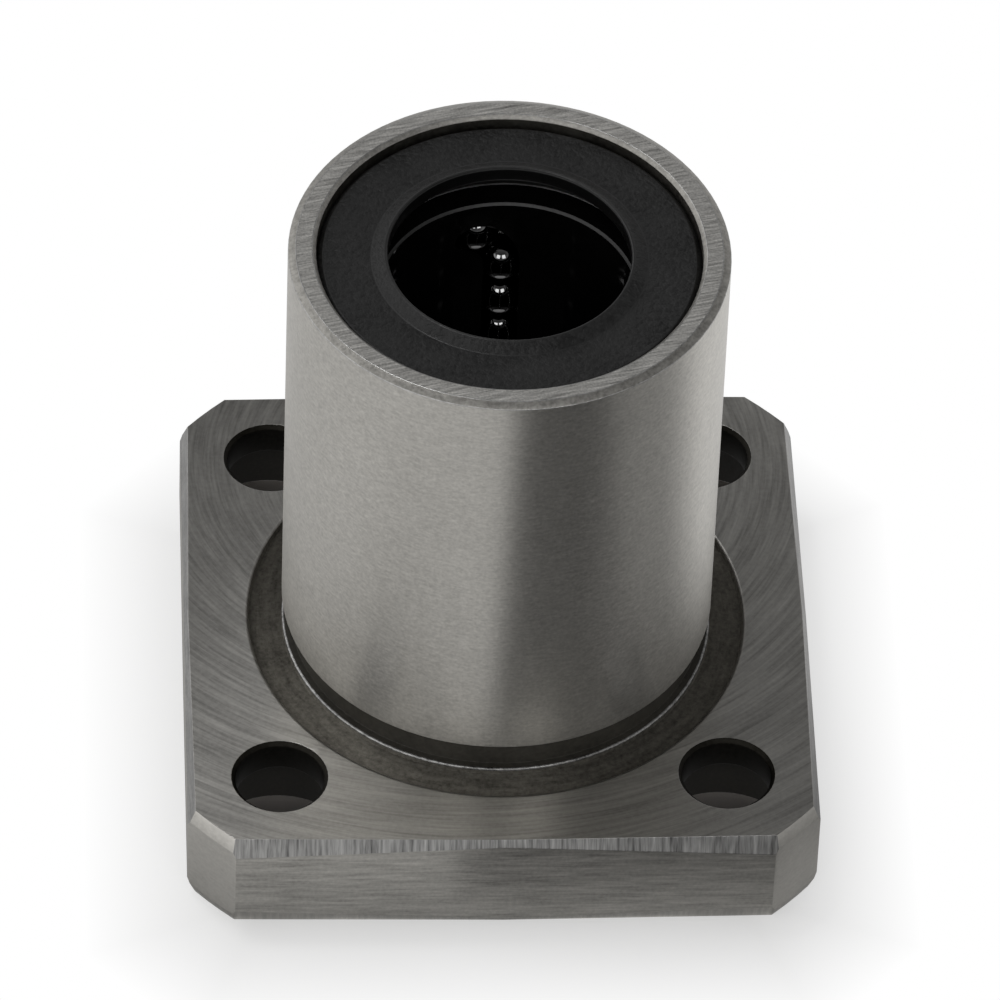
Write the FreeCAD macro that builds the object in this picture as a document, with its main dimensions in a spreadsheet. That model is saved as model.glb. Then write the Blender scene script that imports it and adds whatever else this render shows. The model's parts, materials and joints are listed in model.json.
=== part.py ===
import FreeCAD, Part
import math
import os

import Sketcher

# Square flange linear bearing for a 12 mm shaft, standing on its flange.
# The origin is the centre of the flange's outer face, and +Z runs up the shaft hole.

doc = FreeCAD.newDocument("flange_linear_bearing")

# Driving dimensions, in millimetres and degrees
DIMENSIONS = {
    "shaft_dia": 12.0,
    "sleeve_dia": 22.0,
    "overall_length": 32.0,
    "flange_side": 32.0,
    "flange_corner_dia": 42.0,
    "flange_thickness": 6.0,
    "corner_bevel_reach": 0.28,
    "corner_bevel_drop": 0.72,
    "bolt_circle_dia": 32.0,
    "bolt_hole_dia": 4.5,
    "head_bore_dia": 8.0,
    "head_bore_depth": 4.1,
    "head_bore_bevel": 0.25,
    "bolt_hole_bevel": 0.2,
    "edge_bevel_reach": 15.0,
    "edge_bevel_side_middle": 0.36,
    "edge_bevel_side_corner": 1.1,
    "edge_bevel_face_middle": 0.22,
    "edge_bevel_face_corner": 0.42,
    "seat_recess_dia": 25.3,
    "seat_recess_depth": 0.3,
    "neck_dia": 21.1,
    "neck_bottom": 6.05,
    "neck_top": 7.7,
    "neck_corner": 0.3,
    "rim_bevel_reach": 0.39,
    "rim_bevel_drop": 0.22,
    "rim_inner_bevel": 0.2,
    "mouth_bevel_reach": 0.45,
    "mouth_bevel_drop": 0.33,
    "end_bore_dia": 19.2,
    "flange_seal_recess": 1.15,
    "sleeve_seal_recess": 0.55,
    "seal_thickness": 1.7,
    "seal_edge_bevel": 0.3,
    "seal_lip_dia": 12.1,
    "seal_lip_bevel": 0.08,
    "seal_lip_crest_dia": 12.44,
    "seal_lip_rise": 0.35,
    "seal_lip_foot_dia": 13.8,
    "seal_lip_depth": 0.45,
    "seal_back_dia": 14.2,
    "ring_groove_dia": 20.2,
    "ring_groove_width": 0.75,
    "ring_outer_dia": 20.1,
    "ring_inner_dia": 16.4,
    "ring_thickness": 0.7,
    "ring_gap_angle": 36.0,
    "ball_dia": 2.381,
    "shaft_clearance": 0.01,
    "raceway_clearance": 0.04,
    "ball_pitch": 2.4,
    "row_spacing": 3.6,
    "run_margin": 0.2,
    "load_lead": 1.0,
    "return_lead": 0.9,
    "turn_ball_angle": 44.0,
    "land_width": 2.6,
    "land_overrun": 0.3,
    "land_bevel": 0.4,
    "relief_dia": 18.64,
    "cage_outer_dia": 18.6,
    "cage_inner_dia": 12.8,
    "cage_end_bevel": 0.3,
    "cage_mouth_bevel": 0.12,
    "track_dia": 2.54,
    "track_mouth": 2.48,
    "land_slot_width": 3.0,
    "land_slot_floor": 8.2,
}

FLANGE_SIDES = 4
CIRCUITS = 4
LOAD_BALLS = 7

sizes = doc.addObject("Spreadsheet::Sheet", "Sizes")
for row, (alias, value) in enumerate(DIMENSIONS.items(), start=1):
    sizes.set(f"A{row}", alias)
    sizes.set(f"B{row}", str(value))
    sizes.setAlias(f"B{row}", alias)
doc.recompute()

# Places that several pieces share, as expressions over the sheet
SLEEVE_RADIUS = "Sizes.sleeve_dia / 2"
END_BORE_RADIUS = "Sizes.end_bore_dia / 2"
RELIEF_RADIUS = "Sizes.relief_dia / 2"
LOAD_RADIUS = "(Sizes.shaft_dia / 2 + Sizes.shaft_clearance + Sizes.ball_dia / 2)"
RACEWAY_RADIUS = f"({LOAD_RADIUS} + Sizes.ball_dia / 2 + Sizes.raceway_clearance)"
HALF_RUN = f"({LOAD_BALLS} * Sizes.ball_pitch / 2 + Sizes.run_margin)"
HALF_LAND = f"({HALF_RUN} + Sizes.land_overrun)"
TURN_RADIUS = "Sizes.row_spacing / 2"
TRACK_RADIUS = "Sizes.track_dia / 2"
FLANGE_RECESS = "Sizes.flange_seal_recess"
SLEEVE_RECESS = "Sizes.sleeve_seal_recess"


def from_flange_end(depth):
    return depth


def from_sleeve_end(depth):
    return f"(Sizes.overall_length - ({depth}))"


def seal_back(recess):
    """How deep a seal's back lies in from its end of the bearing."""
    return f"({recess} + Sizes.seal_thickness)"


def groove_far(recess):
    """How deep the far side of a retaining ring's groove lies, which is where the cage ends."""
    return f"({seal_back(recess)} + Sizes.ring_groove_width)"


CAGE_LOW = groove_far(FLANGE_RECESS)
CAGE_HIGH = from_sleeve_end(groove_far(SLEEVE_RECESS))
MIDDLE = f"(({CAGE_LOW} + {CAGE_HIGH}) / 2)"
LAND_SETBACK = f"(({CAGE_HIGH} - {CAGE_LOW}) / 2 - {HALF_LAND})"


def size(expression):
    """The number that an expression over the sheet stands for."""
    value = sizes.evalExpression(expression)
    return float(getattr(value, "Value", value))


def new_body(label):
    body = doc.addObject("PartDesign::Body", label)
    body.Label = label
    return body


def origin_feature(body, role):
    return next(f for f in body.Origin.OriginFeatures if f.Role == role)


def new_sketch(body, name, role, offset=None):
    """A sketch on one of the body's own origin planes, moved along its normal by an expression."""
    sketch = body.newObject("Sketcher::SketchObject", name)
    sketch.AttachmentSupport = (origin_feature(body, role), "")
    sketch.MapMode = "FlatFace"
    if offset:
        sketch.setExpression("AttachmentOffset.Base.z", offset)
    return sketch


def dimension(sketch, constraint, expression):
    index = sketch.addConstraint(constraint)
    sketch.setExpression(f"Constraints[{index}]", expression)


def pin(sketch, element, point, across, up):
    """Holds one point of a sketch element at two distances from the sketch's origin."""
    for kind, expression in (("DistanceX", across), ("DistanceY", up)):
        dimension(sketch, Sketcher.Constraint(kind, -1, 1, element, point, size(expression)), expression)


def add_outline(sketch, corners):
    """A closed outline of straight lines through corners given as pairs of expressions."""
    points = [FreeCAD.Vector(size(across), size(up), 0) for across, up in corners]
    first = sketch.GeometryCount
    for here, there in zip(points, points[1:] + points[:1]):
        sketch.addGeometry(Part.LineSegment(here, there), False)
    for i, corner in enumerate(corners):
        following = first + (i + 1) % len(corners)
        sketch.addConstraint(Sketcher.Constraint("Coincident", first + i, 2, following, 1))
        pin(sketch, first + i, 1, *corner)


def add_circle(sketch, across, up, radius):
    centre = FreeCAD.Vector(size(across), size(up), 0)
    circle = Part.Circle(centre, FreeCAD.Vector(0, 0, 1), size(radius))
    element = sketch.addGeometry(circle, False)
    pin(sketch, element, 3, across, up)
    dimension(sketch, Sketcher.Constraint("Radius", element, size(radius)), radius)


def add_stadium(sketch, across, low, high, radius):
    """Two straight sides joined by half circles round (across, low) and (across, high)."""
    x, bottom, top, r = (size(e) for e in (across, low, high, radius))
    point = FreeCAD.Vector
    normal = point(0, 0, 1)
    right = sketch.addGeometry(Part.LineSegment(point(x + r, bottom, 0), point(x + r, top, 0)), False)
    upper = sketch.addGeometry(Part.ArcOfCircle(Part.Circle(point(x, top, 0), normal, r), 0, math.pi), False)
    left = sketch.addGeometry(Part.LineSegment(point(x - r, top, 0), point(x - r, bottom, 0)), False)
    lower = sketch.addGeometry(
        Part.ArcOfCircle(Part.Circle(point(x, bottom, 0), normal, r), math.pi, 2 * math.pi), False
    )
    for here, there in ((right, upper), (upper, left), (left, lower), (lower, right)):
        sketch.addConstraint(Sketcher.Constraint("Tangent", here, 2, there, 1))
    pin(sketch, upper, 3, across, high)
    pin(sketch, lower, 3, across, low)
    dimension(sketch, Sketcher.Constraint("Radius", upper, r), radius)


def revolve(body, sketch, name):
    feature = body.newObject("PartDesign::Revolution", name)
    feature.Profile = sketch
    feature.ReferenceAxis = (sketch, ["V_Axis"])
    feature.Angle = 360
    doc.recompute()
    return feature


def pocket_through(body, sketch, name):
    """Cuts the sketch through everything on the side that its normal points to."""
    feature = body.newObject("PartDesign::Pocket", name)
    feature.Profile = sketch
    feature.Type = "ThroughAll"
    feature.Reversed = True
    doc.recompute()
    return feature


def pocket_both_ways(body, sketch, name, length):
    """Cuts the sketch to half of a length on each side of its plane."""
    feature = body.newObject("PartDesign::Pocket", name)
    feature.Profile = sketch
    feature.SideType = "Symmetric"
    feature.setExpression("Length", length)
    doc.recompute()
    return feature


def repeat_round(body, features, name, count):
    """Repeats cuts evenly round the shaft hole."""
    pattern = body.newObject("PartDesign::PolarPattern", name)
    pattern.Originals = features
    pattern.Axis = (origin_feature(body, "Z_Axis"), [""])
    pattern.Angle = 360
    pattern.Occurrences = count
    body.Tip = pattern
    doc.recompute()
    return pattern


def bevel_circles(body, feature, name, radius, height, bevel):
    """Bevels every round edge of one radius that lies at one height."""
    r, z = size(radius), size(height)
    edges = [
        f"Edge{i}"
        for i, edge in enumerate(feature.Shape.Edges, start=1)
        if isinstance(edge.Curve, Part.Circle)
        and abs(edge.Curve.Radius - r) < 1e-4
        and abs(edge.Curve.Center.z - z) < 1e-4
    ]
    chamfer = body.newObject("PartDesign::Chamfer", name)
    chamfer.Base = (feature, edges)
    chamfer.setExpression("Size", bevel)
    doc.recompute()
    return chamfer


def bore_end(recess, height_at):
    """Half section of one end of the bore, from the seal's seat in to the raceway lands."""
    back, far = seal_back(recess), groove_far(recess)
    land = f"{far} + {LAND_SETBACK}"
    section = [
        (END_BORE_RADIUS, back),
        ("Sizes.ring_groove_dia / 2", back),
        ("Sizes.ring_groove_dia / 2", far),
        (RELIEF_RADIUS, far),
        (RELIEF_RADIUS, land),
        (f"{RACEWAY_RADIUS} + Sizes.land_bevel", land),
        (RACEWAY_RADIUS, f"{land} + Sizes.land_bevel"),
    ]
    return [(radius, height_at(height)) for radius, height in section]


def sleeve_profile():
    """Half section of the turned blank, from the flange mouth round the outside and back down the bore."""
    corner = "Sizes.flange_corner_dia / 2"
    outside = [
        (END_BORE_RADIUS, "Sizes.mouth_bevel_drop"),
        (f"{END_BORE_RADIUS} + Sizes.mouth_bevel_reach", "0"),
        (f"{corner} - Sizes.corner_bevel_reach", "0"),
        (corner, "Sizes.corner_bevel_drop"),
        (corner, "Sizes.flange_thickness - Sizes.corner_bevel_drop"),
        (f"{corner} - Sizes.corner_bevel_reach", "Sizes.flange_thickness"),
        ("Sizes.seat_recess_dia / 2", "Sizes.flange_thickness"),
        ("Sizes.seat_recess_dia / 2", "Sizes.flange_thickness - Sizes.seat_recess_depth"),
        (SLEEVE_RADIUS, "Sizes.flange_thickness - Sizes.seat_recess_depth"),
        (SLEEVE_RADIUS, "Sizes.neck_bottom"),
        ("Sizes.neck_dia / 2", "Sizes.neck_bottom"),
        ("Sizes.neck_dia / 2", "Sizes.neck_top - Sizes.neck_corner"),
        (SLEEVE_RADIUS, "Sizes.neck_top"),
        (SLEEVE_RADIUS, from_sleeve_end("Sizes.rim_bevel_drop")),
        (f"{SLEEVE_RADIUS} - Sizes.rim_bevel_reach", "Sizes.overall_length"),
        (f"{END_BORE_RADIUS} + Sizes.rim_inner_bevel", "Sizes.overall_length"),
        (END_BORE_RADIUS, from_sleeve_end("Sizes.rim_inner_bevel")),
    ]
    sleeve_bore = bore_end(SLEEVE_RECESS, from_sleeve_end)
    flange_bore = bore_end(FLANGE_RECESS, from_flange_end)
    return outside + sleeve_bore + flange_bore[::-1]


def edge_bevel_section(body, name, across, from_face, side, face):
    """The wedge that a tapered edge bevel takes off, at one place along the flange's edge.

    The bevel's line goes through side on the flange's side and face on its flat face, and the wedge
    runs past both by one more step of each.
    """
    sketch = new_sketch(body, name, "YZ_Plane", across)
    edge = "-Sizes.flange_side / 2"
    corners = [
        (f"{edge} - {face}", from_face(f"2 * {side}")),
        (f"{edge} + 2 * {face}", from_face(f"-{side}")),
        (f"{edge} - {face}", from_face(f"-{side}")),
    ]
    add_outline(sketch, corners)
    return sketch


def edge_bevel(body, name, from_face):
    """One long bevel along a flange edge, narrow in the middle and wide at both corners."""
    sections = []
    for place, across, where in (
        ("left", "-Sizes.edge_bevel_reach", "corner"),
        ("middle", "0", "middle"),
        ("right", "Sizes.edge_bevel_reach", "corner"),
    ):
        side = f"Sizes.edge_bevel_side_{where}"
        face = f"Sizes.edge_bevel_face_{where}"
        sections.append(edge_bevel_section(body, f"{name}_{place}", across, from_face, side, face))
    loft = body.newObject("PartDesign::SubtractiveLoft", name)
    loft.Profile = sections[0]
    loft.Sections = sections[1:]
    loft.Ruled = True
    doc.recompute()
    return loft


def add_relief_outline(sketch):
    """The corner between two neighbouring raceway lands, out to the relief radius."""
    land, reach = "Sizes.land_width / 2", RELIEF_RADIUS
    edge = size(land)
    radius = size(reach)
    far = math.sqrt(radius**2 - edge**2)
    corner = FreeCAD.Vector(edge, edge, 0)
    right = FreeCAD.Vector(far, edge, 0)
    top = FreeCAD.Vector(edge, far, 0)
    middle = FreeCAD.Vector(radius, radius, 0) / math.sqrt(2)
    floor = sketch.addGeometry(Part.LineSegment(corner, right), False)
    arc = sketch.addGeometry(Part.Arc(right, middle, top), False)
    wall = sketch.addGeometry(Part.LineSegment(top, corner), False)
    for here, there in ((floor, arc), (arc, wall), (wall, floor)):
        sketch.addConstraint(Sketcher.Constraint("Coincident", here, 2, there, 1))
    sketch.addConstraint(Sketcher.Constraint("Coincident", arc, 3, -1, 1))
    sketch.addConstraint(Sketcher.Constraint("Horizontal", floor))
    sketch.addConstraint(Sketcher.Constraint("Vertical", wall))
    pin(sketch, floor, 1, land, land)
    dimension(sketch, Sketcher.Constraint("Radius", arc, radius), reach)


def make_flanged_sleeve():
    body = new_body("flanged_sleeve")
    blank = new_sketch(body, "blank_profile", "XZ_Plane")
    add_outline(blank, sleeve_profile())
    revolve(body, blank, "turned_blank")

    flats = new_sketch(body, "flange_flats", "XY_Plane")
    for reach in ("Sizes.flange_side / 2", "Sizes.flange_corner_dia"):
        minus = f"-{reach}"
        add_outline(flats, [(minus, minus), (reach, minus), (reach, reach), (minus, reach)])
    pocket_through(body, flats, "milled_flats")

    front_bevel = edge_bevel(body, "front_edge_bevel", from_flange_end)
    back_bevel = edge_bevel(body, "back_edge_bevel", lambda depth: f"Sizes.flange_thickness - ({depth})")
    repeat_round(body, [front_bevel, back_bevel], "edge_bevels", FLANGE_SIDES)

    hole_place = "Sizes.bolt_circle_dia / 2 * cos(45)"
    drilling = new_sketch(body, "bolt_hole_place", "XY_Plane")
    add_circle(drilling, hole_place, hole_place, "Sizes.bolt_hole_dia / 2")
    doc.recompute()
    hole = body.newObject("PartDesign::Hole", "counterbored_hole")
    hole.Profile = drilling
    hole.DepthType = "ThroughAll"
    hole.Reversed = True
    hole.HoleCutType = "Counterbore"
    hole.HoleCutCustomValues = True
    hole.setExpression("Diameter", "Sizes.bolt_hole_dia")
    hole.setExpression("HoleCutDiameter", "Sizes.head_bore_dia")
    hole.setExpression("HoleCutDepth", "Sizes.head_bore_depth")
    repeat_round(body, [hole], "bolt_holes", FLANGE_SIDES)

    relief = new_sketch(body, "relief_outline", "XY_Plane", MIDDLE)
    add_relief_outline(relief)
    relief_cut = pocket_both_ways(body, relief, "relief_groove", f"2 * ({HALF_LAND} + Sizes.land_bevel)")
    reliefs = repeat_round(body, [relief_cut], "relief_grooves", CIRCUITS)

    bevels = reliefs
    for name, across, height, bevel in (
        ("head_bore_bevels", "Sizes.head_bore_dia", "0", "Sizes.head_bore_bevel"),
        ("head_seat_bevels", "Sizes.bolt_hole_dia", "Sizes.head_bore_depth", "Sizes.bolt_hole_bevel"),
        ("bolt_hole_bevels", "Sizes.bolt_hole_dia", "Sizes.flange_thickness", "Sizes.bolt_hole_bevel"),
    ):
        bevels = bevel_circles(body, bevels, name, f"{across} / 2", height, bevel)
    body.Tip = bevels
    return body


def make_seal(label, recess, height_at):
    """A rubber wiper: a flat face, a cone-shaped lip round the shaft hole and a back that flares open."""
    body = new_body(label)
    crest = f"{recess} - Sizes.seal_lip_rise"
    lip_radius = "Sizes.seal_lip_dia / 2"
    section = [
        (f"{END_BORE_RADIUS} - Sizes.seal_edge_bevel", recess),
        (END_BORE_RADIUS, f"{recess} + Sizes.seal_edge_bevel"),
        (END_BORE_RADIUS, seal_back(recess)),
        ("Sizes.seal_back_dia / 2", seal_back(recess)),
        (lip_radius, f"{recess} + Sizes.seal_lip_depth"),
        (lip_radius, f"{crest} + Sizes.seal_lip_bevel"),
        (f"{lip_radius} + Sizes.seal_lip_bevel", crest),
        ("Sizes.seal_lip_crest_dia / 2", crest),
        ("Sizes.seal_lip_foot_dia / 2", recess),
    ]
    sketch = new_sketch(body, f"{label}_section", "XZ_Plane")
    add_outline(sketch, [(radius, height_at(height)) for radius, height in section])
    revolve(body, sketch, f"{label}_ring")
    return body


def make_retaining_ring(label, recess, height_at):
    """An open spring ring of plain rectangular section that sits in its groove behind the seal."""
    body = new_body(label)
    far = groove_far(recess)
    near = f"{far} - Sizes.ring_thickness"
    inner, outer = "Sizes.ring_inner_dia / 2", "Sizes.ring_outer_dia / 2"
    section = [(inner, near), (outer, near), (outer, far), (inner, far)]
    sketch = new_sketch(body, f"{label}_section", "XZ_Plane")
    add_outline(sketch, [(radius, height_at(height)) for radius, height in section])
    ring = revolve(body, sketch, f"{label}_bend")
    ring.Midplane = True
    ring.setExpression("Angle", "360 - Sizes.ring_gap_angle")
    doc.recompute()
    return body


def make_track_turn(body, name, height, upwards):
    """The round-bottomed half turn that joins the load track to the return track at one end."""
    sketch = new_sketch(body, f"{name}_section", "XY_Plane", height)
    add_circle(sketch, LOAD_RADIUS, "0", TRACK_RADIUS)
    start = FreeCAD.Vector(0, size(TURN_RADIUS), 0)
    end = FreeCAD.Vector(size(LOAD_RADIUS), size(TURN_RADIUS), 0)
    axis = sketch.addGeometry(Part.LineSegment(start, end), True)
    pin(sketch, axis, 1, "0", TURN_RADIUS)
    pin(sketch, axis, 2, LOAD_RADIUS, TURN_RADIUS)
    turn = body.newObject("PartDesign::Groove", name)
    turn.Profile = sketch
    turn.ReferenceAxis = (sketch, ["Axis0"])
    turn.Angle = 180
    turn.Reversed = upwards
    doc.recompute()
    return turn


def make_ball_cage():
    """The resin cage: a tube with a closed racetrack for each ball circuit.

    Each track lies in a plane square to the load row. Its floor is open to the shaft along the load row
    and closed under the return row, which lies further from the axis.
    """
    body = new_body("ball_cage")
    inner, outer = "Sizes.cage_inner_dia / 2", "Sizes.cage_outer_dia / 2"
    bevel, mouth_bevel = "Sizes.cage_end_bevel", "Sizes.cage_mouth_bevel"
    section = [
        (f"{inner} + {mouth_bevel}", CAGE_LOW),
        (f"{outer} - {bevel}", CAGE_LOW),
        (outer, f"{CAGE_LOW} + {bevel}"),
        (outer, f"{CAGE_HIGH} - {bevel}"),
        (f"{outer} - {bevel}", CAGE_HIGH),
        (f"{inner} + {mouth_bevel}", CAGE_HIGH),
        (inner, f"{CAGE_HIGH} - {mouth_bevel}"),
        (inner, f"{CAGE_LOW} + {mouth_bevel}"),
    ]
    tube = new_sketch(body, "cage_section", "XZ_Plane")
    add_outline(tube, section)
    revolve(body, tube, "cage_tube")

    land_slot = new_sketch(body, "land_slot_outline", "XY_Plane")
    floor, reach, side = "Sizes.land_slot_floor", "Sizes.sleeve_dia / 2", "Sizes.land_slot_width / 2"
    add_outline(land_slot, [(floor, f"-{side}"), (reach, f"-{side}"), (reach, side), (floor, side)])
    cuts = [pocket_through(body, land_slot, "land_slot")]

    for name, offset in (("load_track", "0"), ("return_track", "Sizes.row_spacing")):
        sketch = new_sketch(body, f"{name}_section", "XY_Plane", MIDDLE)
        add_circle(sketch, LOAD_RADIUS, offset, TRACK_RADIUS)
        cuts.append(pocket_both_ways(body, sketch, name, f"2 * {HALF_RUN}"))
    cuts.append(make_track_turn(body, "sleeve_end_turn", f"{MIDDLE} + {HALF_RUN}", True))
    cuts.append(make_track_turn(body, "flange_end_turn", f"{MIDDLE} - {HALF_RUN}", False))

    mouth = new_sketch(body, "track_mouth_outline", "YZ_Plane", LOAD_RADIUS)
    low, high = f"{MIDDLE} - {HALF_RUN}", f"{MIDDLE} + {HALF_RUN}"
    add_stadium(mouth, TURN_RADIUS, low, high, f"{TURN_RADIUS} + Sizes.track_mouth / 2")
    add_stadium(mouth, TURN_RADIUS, low, high, f"{TURN_RADIUS} - Sizes.track_mouth / 2")
    cuts.append(pocket_through(body, mouth, "track_mouth"))
    repeat_round(body, cuts, "ball_circuits", CIRCUITS)
    return body


def ball_at(name, across, up):
    """One ball of the circuit whose load row lies on +X, across and up in the plane of its track."""
    ball = doc.addObject("Part::Sphere", name)
    ball.setExpression("Radius", "Sizes.ball_dia / 2")
    ball.setExpression("Placement.Base.x", LOAD_RADIUS)
    ball.setExpression("Placement.Base.y", across)
    ball.setExpression("Placement.Base.z", up)
    return ball


def first_circuit():
    """The balls of the first circuit, by the stretch of track that they are on.

    Balls run up the load row, over the turn at the sleeve end and down the return row. The leads carry
    each stretch forward along that way from the middle of its own place.
    """
    groups = {}
    for stretch, across, lead in (
        ("load", "0", "Sizes.load_lead"),
        ("return", "Sizes.row_spacing", "-Sizes.return_lead"),
    ):
        groups[stretch] = []
        for n in range(LOAD_BALLS):
            step = n - (LOAD_BALLS - 1) / 2
            up = f"{MIDDLE} + ({lead}) + {step} * Sizes.ball_pitch"
            groups[stretch].append(ball_at(f"{stretch}_ball_{n + 1}", across, up))
    turn_lead = f"Sizes.return_lead / ({TURN_RADIUS}) * {math.degrees(1)}"
    for stretch, way in (("sleeve_turn", "1"), ("flange_turn", "-1")):
        groups[stretch] = []
        for n, lean in enumerate(("-1", "1")):
            angle = f"({lean} * Sizes.turn_ball_angle + {turn_lead})"
            across = f"{TURN_RADIUS} * (1 + {way} * sin({angle}))"
            up = f"{MIDDLE} + {way} * ({HALF_RUN} + {TURN_RADIUS} * cos({angle}))"
            groups[stretch].append(ball_at(f"{stretch}_ball_{n + 1}", across, up))
    return groups


def make_balls():
    """Each circuit's groups of balls, the first circuit turned round the axis for the others."""
    nodes = []
    for stretch, balls in first_circuit().items():
        for circuit in range(CIRCUITS):
            label = f"{stretch}_balls_{circuit + 1}"
            group = doc.addObject("Part::Compound", label)
            group.Label = label
            group.Links = balls
            turn = FreeCAD.Rotation(FreeCAD.Vector(0, 0, 1), 360 * circuit / CIRCUITS)
            group.Placement = FreeCAD.Placement(FreeCAD.Vector(), turn)
            nodes.append(group)
    return nodes


def check(nodes):
    """Stops if any object failed, any cut took nothing away or any piece isn't a sound solid."""
    doc.recompute()
    faults = [o.Label for o in doc.Objects if {"Invalid", "Error"} & set(o.State)]
    cutting = ("Pocket", "Groove", "Hole", "SubtractiveLoft", "PolarPattern", "Chamfer")
    for feature in doc.Objects:
        if feature.TypeId.split("::")[-1] in cutting:
            if feature.BaseFeature.Shape.Volume - feature.Shape.Volume < 1e-3:
                faults.append(f"{feature.Label} cuts nothing")
    for node in nodes:
        if node.Shape.isNull() or not node.Shape.isValid() or not node.Shape.Solids:
            faults.append(f"{node.Label} has no sound solid")
    if faults:
        raise RuntimeError(", ".join(faults))


def main():
    nodes = [
        make_flanged_sleeve(),
        make_ball_cage(),
        make_seal("flange_end_seal", FLANGE_RECESS, from_flange_end),
        make_seal("sleeve_end_seal", SLEEVE_RECESS, from_sleeve_end),
        make_retaining_ring("flange_end_retaining_ring", FLANGE_RECESS, from_flange_end),
        make_retaining_ring("sleeve_end_retaining_ring", SLEEVE_RECESS, from_sleeve_end),
    ]
    nodes += make_balls()
    check(nodes)
    os.makedirs("parts", exist_ok=True)
    for node in nodes:
        node.Shape.exportStep(f"parts/{node.Label}.step")
        print(f"{node.Label}: {len(node.Shape.Solids)} solids, {node.Shape.Volume:.2f} mm3")


main()
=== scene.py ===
import json
import math

import bmesh
import bpy
from mathutils import Matrix, Vector


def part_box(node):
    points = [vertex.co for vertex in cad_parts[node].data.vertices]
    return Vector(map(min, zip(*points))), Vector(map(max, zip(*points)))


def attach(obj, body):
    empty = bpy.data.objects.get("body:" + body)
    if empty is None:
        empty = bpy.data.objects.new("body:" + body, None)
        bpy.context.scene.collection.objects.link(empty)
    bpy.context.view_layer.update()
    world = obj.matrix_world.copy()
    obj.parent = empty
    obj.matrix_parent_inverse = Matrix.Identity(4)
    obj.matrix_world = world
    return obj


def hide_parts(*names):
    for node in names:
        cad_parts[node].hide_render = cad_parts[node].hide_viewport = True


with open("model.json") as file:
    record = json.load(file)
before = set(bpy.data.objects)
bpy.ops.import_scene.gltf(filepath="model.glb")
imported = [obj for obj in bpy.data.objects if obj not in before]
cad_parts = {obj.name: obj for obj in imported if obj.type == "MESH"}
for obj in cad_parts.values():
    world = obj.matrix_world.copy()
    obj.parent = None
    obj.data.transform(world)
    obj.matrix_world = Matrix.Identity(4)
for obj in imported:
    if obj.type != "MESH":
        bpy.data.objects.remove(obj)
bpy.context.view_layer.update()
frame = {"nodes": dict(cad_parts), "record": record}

# Square flange linear bearing, standing on its flange with the shaft hole upright.
# Blender's lengths are metres. Sizes named here are millimetres unless a comment says otherwise.

MM = 0.001

# Sizes of the bearing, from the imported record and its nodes
mounts = {mount["name"]: mount for mount in frame["record"]["mounts"]}
pilot = mounts["sleeve_pilot"]
bolts = mounts["flange_bolts"]
PILOT_MIDDLE = pilot["pos_m"][2] / MM
PILOT_HALF = pilot["dims"]["length_mm"] / 2
NECK_TOP = PILOT_MIDDLE - PILOT_HALF
PILOT_TOP = PILOT_MIDDLE + PILOT_HALF
SLEEVE_RADIUS = pilot["dims"]["r_mm"]
SLEEVE_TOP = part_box("flanged_sleeve")[1].z / MM
SEAL_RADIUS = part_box("sleeve_end_seal")[1].x / MM
FLANGE_BACK = bolts["pos_m"][2] / MM
BOLT_PLACE = bolts["dims"]["pcd_mm"] / 2 * math.sqrt(0.5)
HALF_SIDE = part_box("flanged_sleeve")[1].x / MM
# These turn balls lie side by side, so their box is one ball thick
ball_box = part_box("sleeve_turn_balls_1")
BALL_RADIUS = (ball_box[1].x / MM - ball_box[0].x / MM) / 2

# The flange's corners are cut off between the points where a circle crosses its sides: x plus y along a cut
CORNER_RADIUS = 21.0
CORNER_SUM = HALF_SIDE + math.sqrt(CORNER_RADIUS ** 2 - HALF_SIDE ** 2)

# Other sizes that the record doesn't give. A reach goes a little past the form that it is named after
HEAD_MOUTH_REACH = 4.27
HEAD_BORE_REACH = 4.4
HEAD_SEAT = 4.1
SEAT_RECESS_RADIUS = 12.65
SEAT_RECESS_REACH = 12.9
BOSS_TOP = 6.05
WIPER_BACK_RADIUS = 7.1
MOUTH_BEVEL = 0.12

# The centres that grinding marks run round: the shaft hole, a cup behind it, or a point so far in front
# that the marks are nearly straight
AXIS = (0.0, 0.0, 0.0)
CUP_CENTRE = (-1.5, 11.0, 0.0)
FAR_CENTRE = (0.0, -1000.0, 0.0)

# Mesh work
JOIN_GAP = 0.0005
FLAT_ANGLE = math.radians(0.4)
EDGE_ANGLE = math.radians(16)
EDGE_WIDTH = 0.05
CAGE_EDGE_WIDTH = 0.025
RECESS_EDGE_WIDTH = 0.26
BOSS_EDGE_WIDTH = 0.13
EDGE_STEPS = 2
WIDE_EDGE_STEPS = 4
LEDGE_WIDTH = 0.08
LEDGE_DEPTH = 0.03
ROUND_STEPS = 180
BALL_SUBDIVISIONS = 4

# How the faces of the sleeve are told apart: the upright share of a level face's and a wall's normal,
# and how far from a size a face may lie
LEVEL = 0.99
WALL_TILT = 0.2
NEAR = 0.02
SLACK = 0.1
BOSS_BAND = 0.25
RIM_DEPTH = 0.3
BORE_WALL = 0.5
MOUTH_DEPTH = 1.0
BACK_DEPTH = 1.0

# Finishes: the unit of relief in metres, the turn of drawn-out reflections, how much more blue than red a warm
# grey loses, and the band of an added-up mask that is spread over 0 to 1
MICROMETRE = 1e-6
QUARTER_TURN = 0.25
BLUE_LOSS = 2.2
MASK_LOW = 0.3
MASK_HIGH = 0.7


def write(tree, socket, value):
    """Links an output to a node's input, or writes a plain value on it."""
    if isinstance(value, bpy.types.NodeSocket):
        tree.links.new(value, socket)
    else:
        socket.default_value = value


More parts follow.
